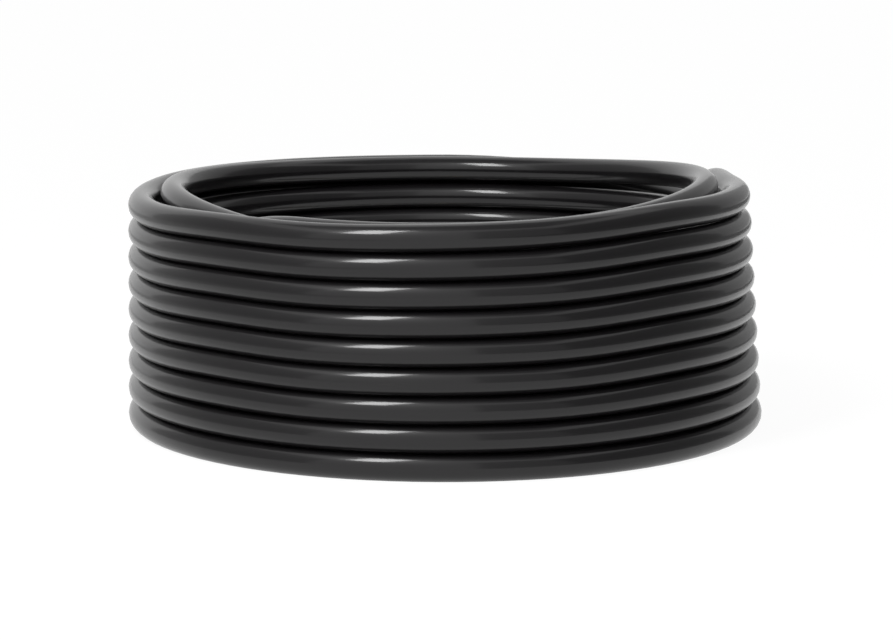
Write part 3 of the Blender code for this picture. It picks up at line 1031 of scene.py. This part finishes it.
class Coupling:
    """What the two couplings share: a barbed tailpiece in the hose end under a crimped sleeve."""

    def __init__(self, end: Vector, way: int, sizes: FittingSizes, thread: ThreadSizes) -> None:
        """Keeps where the coupling goes.

        Args:
            end: The middle of the hose's end face.
            way: 1 where the coupling points along +X, and -1 along -X.
            sizes: The couplings' sizes.
            thread: The thread's sizes.
        """
        self.end = end
        self.way = way
        self.sizes = sizes
        self.thread = thread

    def _turned(
        self, name: str, corners: Outline, round_edge: float = FittingSizes.rounding
    ) -> bpy.types.Object:
        """A piece turned round the coupling's axis."""
        return Workbench.turned(name, corners, self.way, self.sizes.steps, round_edge)

    def _seat(self, obj: bpy.types.Object, finish: Finish, body: Body, node: str) -> bpy.types.Object:
        """Moves a piece from the X axis to the hose's end, and finishes it.

        Args:
            obj: The piece.
            finish: Its finish.
            body: The body it moves with.
            node: The frame's node that it stands for.

        Returns:
            The piece.
        """
        Workbench.edit(obj)
        bpy.ops.transform.translate(value=self.end)
        bpy.ops.object.mode_set(mode="OBJECT")
        return Workbench.finish(obj, finish, body, [node])

    def _barbs(self) -> Outline:
        """Draws a tailpiece inside the hose.

        Returns:
            Its outline from the neck to its tip.
        """
        s = self.sizes
        root = s.barb - s.barb_depth
        corners = [(s.neck, s.neck_step), (root, s.neck_step)]
        for number in range(s.barb_count):
            top = -number * s.barb_pitch - s.barb_land
            corners += [(root, top), *((s.barb, top - crest) for crest in s.barb_crest)]
            corners.append((root, top + s.barb_land - s.barb_pitch))
        tip = -s.barb_count * s.barb_pitch
        return [*corners[:-1], (root, tip), (s.stem_bore, tip)]

    def _sleeve(self) -> Outline:
        """Draws a crimped sleeve, with the lip over the hose's end face.

        Returns:
            Its outline.
        """
        s = self.sizes
        corners = [(s.sleeve_outside, s.sleeve_lip[1])]
        first = -(s.sleeve_length - (s.crimp_count - 1) * s.crimp_pitch) / 2
        for number in range(s.crimp_count):
            middle = first - number * s.crimp_pitch
            half, slope = s.crimp_width / 2, s.crimp_slope
            floor = s.sleeve_outside - s.crimp_depth
            corners += [(s.sleeve_outside, middle + half), (floor, middle + half - slope)]
            corners += [(floor, middle - half + slope), (s.sleeve_outside, middle - half)]
        inside, lip = s.sleeve_inside, s.neck + s.sleeve_lip[0]
        return [
            *corners,
            (s.sleeve_outside, -s.sleeve_length),
            (inside, -s.sleeve_length),
            (inside, s.sleeve_lip[0]),
            (lip, s.sleeve_lip[0]),
            (lip, s.sleeve_lip[1]),
        ]

    def _disc(self, span: Pair, hole: float) -> Outline:
        """A flat ring's outline."""
        rim = self.sizes.disc_radius
        return [(rim, span[1]), (rim, span[0]), (hole, span[0]), (hole, span[1])]

    def _piece(
        self,
        name: str,
        corners: Outline,
        finish: Finish,
        body: Body,
        node: str,
        round_edge: float = FittingSizes.rounding,
    ) -> bpy.types.Object:
        """A turned piece that needs nothing more, seated at the hose's end."""
        return self._seat(self._turned(name, corners, round_edge), finish, body, node)

    def _gripped(self, obj: bpy.types.Object, count: int, groove: float, span: Pair) -> None:
        """Cuts the grip grooves of a nut or a cap, and rounds its edges.

        Args:
            obj: The nut or the cap.
            count: How many grooves.
            groove: A groove's radius.
            span: Where the piece starts and ends, as distances from the hose's end face.
        """
        s = self.sizes
        reach = (self.way * (span[0] - s.grip_overrun), self.way * (span[1] + s.grip_overrun))
        Workbench.fluted(obj, count, groove, s.shell, s.grip_depth, reach)
        Workbench.round_edges(obj, s.grip_rounding)

    def _ridge(self, name: str, male: bool, start: float, turns: float) -> bpy.types.Object:
        """Models a thread's ridge.

        Args:
            name: The object's name.
            male: Whether it stands on a stem, rather than in a bore.
            start: Where its middle starts, as a distance from the hose's end face.
            turns: Its length in turns.

        Returns:
            The ridge.
        """
        t = self.thread
        if male:
            inner, outer = (t.core - t.sunk, t.male_core_half), (t.crest, t.male_crest_half)
        else:
            inner, outer = (t.bore, t.female_tip_half), (t.root + t.sunk, t.female_root_half)
        before = [(radius, start - half) for radius, half in (inner, outer)]
        behind = [(radius, start + half) for radius, half in (outer, inner)]
        return Workbench.helix(name, before + behind, self.way, turns, t)


class InletCoupling(Coupling):
    """The swivel coupling at the tap end."""

    def build(self) -> list[bpy.types.Object]:
        """Models the coupling's pieces.

        Returns:
            The finished pieces.
        """
        s = self.sizes
        washer = self._disc(s.inlet_washer, s.washer_hole)
        restrictor = self._disc(s.restrictor, s.restrictor_hole)
        return [
            self._piece("inlet_tailpiece", self._tailpiece(), BRASS, Body.HOSE, "inlet_stem"),
            self._piece("inlet_sleeve", self._sleeve(), ALUMINIUM, Body.HOSE, "inlet_ferrule"),
            self._nut(),
            self._piece("inlet_rubber_washer", washer, RUBBER, Body.NUT, "inlet_washer", s.washer_rounding),
            self._piece("restrictor_disc", restrictor, PALE_PLASTIC, Body.NUT, "flow_restrictor"),
        ]

    def _tailpiece(self) -> Outline:
        """Draws the tailpiece, with the flange that the nut pulls on.

        Returns:
            Its outline.
        """
        s, radius = self.sizes, HoseSizes.radius
        return [
            (s.stem_bore, s.flange[1]),
            (s.flange_radius, s.flange[1]),
            (s.flange_radius, s.flange[0]),
            (s.neck, s.flange[0]),
            (s.neck, s.collar[1]),
            (radius, s.collar[1]),
            (radius, s.collar[0]),
            (s.neck, s.collar[0]),
            *self._barbs(),
        ]

    def _nut(self) -> bpy.types.Object:
        """Models the swivel nut, with its inside thread and its grip grooves.

        Returns:
            The finished nut.
        """
        s, t = self.sizes, self.thread
        start, end = s.nut
        floor = start + s.nut_shoulder
        hole = s.neck + s.nut_clearance
        smooth_bore = s.restrictor[1] + s.bore_clearance
        corners = [
            (s.shell - s.chamfer, end),
            (s.shell, end - s.chamfer),
            (s.shell, start + s.chamfer),
            (s.shell - s.chamfer, start),
            (hole, start),
            (hole, floor),
            (t.bore, floor),
            (t.bore, smooth_bore),
            (t.root, smooth_bore + s.chamfer),
            (t.root, end),
        ]
        nut = self._turned("inlet_swivel_nut", corners, 0)
        self._gripped(nut, s.nut_grips, s.nut_grip_radius, s.nut)
        first = smooth_bore + s.thread_margin
        turns = (end - s.thread_margin - first) / t.pitch
        # The ridge climbs along +X, so on a coupling that points along -X it starts at the mouth.
        ridge = self._ridge("nut_thread", False, first if self.way > 0 else first + turns * t.pitch, turns)
        Workbench.join(nut, ridge)
        return self._seat(nut, BRASS, Body.NUT, "inlet_nut")


class CappedOutlet(Coupling):
    """The threaded far end with its screw cap."""

    def build(self) -> list[bpy.types.Object]:
        """Models the end's pieces.

        Returns:
            The finished pieces.
        """
        s = self.sizes
        washer = self._disc(s.cap_washer, s.washer_hole)
        return [
            self._stem(),
            self._piece("outlet_sleeve", self._sleeve(), ALUMINIUM, Body.HOSE, "outlet_ferrule"),
            self._cap(),
            self._piece("cap_rubber_washer", washer, RUBBER, Body.CARRIER, "cap_washer", s.washer_rounding),
        ]

    def _stem(self) -> bpy.types.Object:
        """Models the barbed stem with its outside thread.

        Returns:
            The finished stem.
        """
        s, t = self.sizes, self.thread
        corners = [
            (s.stem_bore, s.nose_end),
            (t.core - s.chamfer, s.nose_end),
            (t.core, s.nose_end - s.chamfer),
            (t.core, s.collar[0]),
            (s.neck, s.collar[0]),
            *self._barbs(),
        ]
        stem = self._turned("outlet_tailpiece", corners)
        Workbench.join(stem, self._ridge("stem_thread", True, s.male_start, s.male_turns))
        return self._seat(stem, BRASS, Body.HOSE, "outlet_stem")

    def _cap(self) -> bpy.types.Object:
        """Models the screw cap, with its inside thread and its grip grooves.

        Returns:
            The finished cap.
        """
        s, t = self.sizes, self.thread
        start, end = s.cap
        mouth_edge, top_edge = s.cap_edges
        corners = [
            (0, end),
            (s.shell - top_edge, end),
            (s.shell, end - top_edge),
            (s.shell, start + mouth_edge),
            (s.shell - mouth_edge, start),
            (t.root, start),
            (t.root, s.cap_floor),
            (0, s.cap_floor),
        ]
        cap = self._turned("screw_end_cap", corners, 0)
        self._gripped(cap, s.cap_grips, s.cap_grip_radius, s.cap)
        ridge = self._ridge("cap_thread", False, s.male_start + t.pitch / 2, s.male_turns)
        Workbench.join(cap, ridge)
        return self._seat(cap, CAP_PLASTIC, Body.CAP, "end_cap")


# ---- Studio ---------------------------------------------------------------------------------------------
@dataclass(frozen=True)
class View:
    """The photograph's camera: what it looks at, from how far and how high, and its lens in millimetres."""

    target: Triple = (0.000887, -0.0166, 0.07282)
    distance: float = 2.90469
    elevation: float = 9.465
    lens: float = 163.03
    sensor: float = 36
    clip: Pair = (0.1, 100)

    def camera(self) -> None:
        """Adds the camera, and makes it the scene's."""
        tilt = math.radians(self.elevation)
        back = Vector((0, -math.cos(tilt), math.sin(tilt))) * self.distance
        Workbench.clear_selection()
        bpy.ops.object.camera_add(location=Vector(self.target) + back, rotation=(math.pi / 2 - tilt, 0, 0))
        camera = bpy.context.object
        camera.data.lens = self.lens
        camera.data.sensor_width = self.sensor
        camera.data.clip_start, camera.data.clip_end = self.clip
        bpy.context.scene.camera = camera


@dataclass(frozen=True)
class Card:
    """A flat panel that only reflections see: its name, place, size, facing and glow."""

    name: str
    spot: Triple
    size: Pair
    rotation: Triple
    glow: float

    @classmethod
    def beside(cls, name: str, bearing: Pair, glow: float, away: float = 3.4, height: float = 4.0) -> Card:
        """Places an upright card that stands on the floor and faces the object.

        Args:
            name: Its name.
            bearing: Where it starts and ends, in degrees to the right of the camera.
            glow: Its brightness.
            away: Its distance in metres.
            height: Its height in metres.

        Returns:
            The card.
        """
        middle, half = math.radians(sum(bearing) / 2), math.radians((bearing[1] - bearing[0]) / 2)
        spot = (away * math.sin(middle), -away * math.cos(middle), height / 2)
        return cls(name, spot, (2 * away * math.tan(half), height), (math.pi / 2, 0, middle), glow)

    def build(self) -> None:
        """Adds the card, and stages it."""
        Workbench.clear_selection()
        bpy.ops.mesh.primitive_plane_add(size=1, location=self.spot, rotation=self.rotation)
        panel = bpy.context.object
        panel.name = self.name
        panel.scale = (*self.size, 1)
        bpy.ops.object.transform_apply(location=True, rotation=True, scale=True)
        material = bpy.data.materials.new(self.name)
        material.use_nodes = True
        graph = ShaderGraph(material.node_tree)
        glow = graph.node("ShaderNodeEmission", None, {"Color": (1.0, 1.0, 1.0), "Strength": self.glow})
        graph.node("ShaderNodeOutputMaterial", None, {"Surface": glow})
        panel.data.materials.append(material)
        panel.visible_camera = panel.visible_diffuse = panel.visible_shadow = False


class Studio:
    """White surroundings with one softbox and dim cards, as the photograph's reflections show them."""

    cards = (
        Card("ceiling_card", (0, -0.1, 2.6), (2.6, 2.2), (0, 0, 0), 0.25),
        Card.beside("front_right_card", (12, 44), 0.50),
        Card.beside("right_card", (44, 124), 0.22),
        Card.beside("back_right_card", (124, 166), 0.50),
        Card.beside("left_card", (-128, -48), 0.48),
        Card("right_floor_card", (2.10, -0.6, 0.002), (3.1, 5.0), (0, 0, 0), 0.26),
        Card("left_floor_card", (-2.15, -0.6, 0.002), (3.1, 5.0), (0, 0, 0), 0.62),
    )
    floor_size = 60
    paper_shade = 0.80
    shown_shade = 0.10
    shown_glow = 0.94
    world_light = 0.5
    softbox_at = Vector((-0.42, -0.72, 1.15))
    softbox_aim = Vector((0, 0, 0.12))
    softbox_size = (0.27, 0.60)
    softbox_power = 9.0

    def build(self) -> None:
        """Makes the floor, the cards, the world and the softbox."""
        self._floor()
        for card in self.cards:
            card.build()
        self._world()
        self._softbox()

    def _seen(self, graph: ShaderGraph) -> Signal:
        """Tells the rays that show the surroundings from those that only light the object.

        Args:
            graph: The graph that asks.

        Returns:
            1 for rays from the camera and for those reflected or let through, and 0 for the others.
        """
        path = graph.tree.nodes.new("ShaderNodeLightPath")
        names = ("Is Camera Ray", "Is Glossy Ray", "Is Transmission Ray")
        camera, glossy, through = (Signal(graph, path.outputs[name]) for name in names)
        return camera.at_least(glossy).at_least(through)

    def _floor(self) -> None:
        """A white floor that fades into the backdrop and keeps a faint shadow."""
        Workbench.clear_selection()
        bpy.ops.mesh.primitive_plane_add(size=self.floor_size, location=(0, 0, 0))
        floor = bpy.context.object
        floor.name = "studio_floor"
        material = bpy.data.materials.new("studio_white")
        material.use_nodes = True
        graph = ShaderGraph(material.node_tree)
        paper = graph.node("ShaderNodeBsdfDiffuse", None, {"Color": (self.paper_shade,) * 3})
        glow = {"Color": (1.0, 1.0, 1.0), "Strength": self.shown_glow}
        light = graph.node("ShaderNodeEmission", None, glow)
        shade = graph.node("ShaderNodeBsdfDiffuse", None, {"Color": (self.shown_shade,) * 3})
        shown = graph.node("ShaderNodeAddShader", None, {0: light, 1: shade})
        both = graph.node("ShaderNodeMixShader", None, {0: self._seen(graph), 1: paper, 2: shown})
        graph.node("ShaderNodeOutputMaterial", None, {"Surface": both})
        floor.data.materials.append(material)

    def _world(self) -> None:
        """White surroundings, which light the object less than they show."""
        world = bpy.data.worlds.new("studio_world")
        world.use_nodes = True
        bpy.context.scene.world = world
        graph = ShaderGraph(world.node_tree)
        strength = self._seen(graph) * (1 - self.world_light) + self.world_light
        sky = graph.node("ShaderNodeBackground", None, {"Color": (1.0, 1.0, 1.0), "Strength": strength})
        graph.node("ShaderNodeOutputWorld", None, {"Surface": sky})

    def _softbox(self) -> None:
        """The softbox, front left and above."""
        Workbench.clear_selection()
        aim = (self.softbox_aim - self.softbox_at).to_track_quat("-Z", "Y").to_euler()
        bpy.ops.object.light_add(type="AREA", location=self.softbox_at, rotation=aim)
        lamp = bpy.context.object
        lamp.name = "softbox"
        lamp.data.shape = "RECTANGLE"
        lamp.data.size, lamp.data.size_y = self.softbox_size
        lamp.data.energy = self.softbox_power


# ---- The whole scene ------------------------------------------------------------------------------------
def main() -> None:
    """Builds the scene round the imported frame."""
    logging.basicConfig(level=logging.INFO, format="%(name)s: %(message)s")
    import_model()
    bpy.context.scene.view_settings.view_transform = "Standard"
    View().camera()

    hose, fittings, thread = HoseSizes(), FittingSizes(), ThreadSizes()
    route = CoilRoute(CoilSizes(), hose).points()
    tube = HoseTube(hose, route).build()
    inlet = InletCoupling(route[0], -1, fittings, thread).build()
    outlet = CappedOutlet(route[-1], 1, fittings, thread).build()
    length = sum((second - first).length for first, second in zip(route, route[1:]))
    log.info("hose: %.3f m along its middle", length)
    for piece in (tube, *inlet, *outlet):
        log.info("%s: %d faces", piece.name, len(piece.data.polygons))
    hose.diameter

    Studio().build()
    Workbench.clear_selection()


if __name__ == "__main__":
    main()
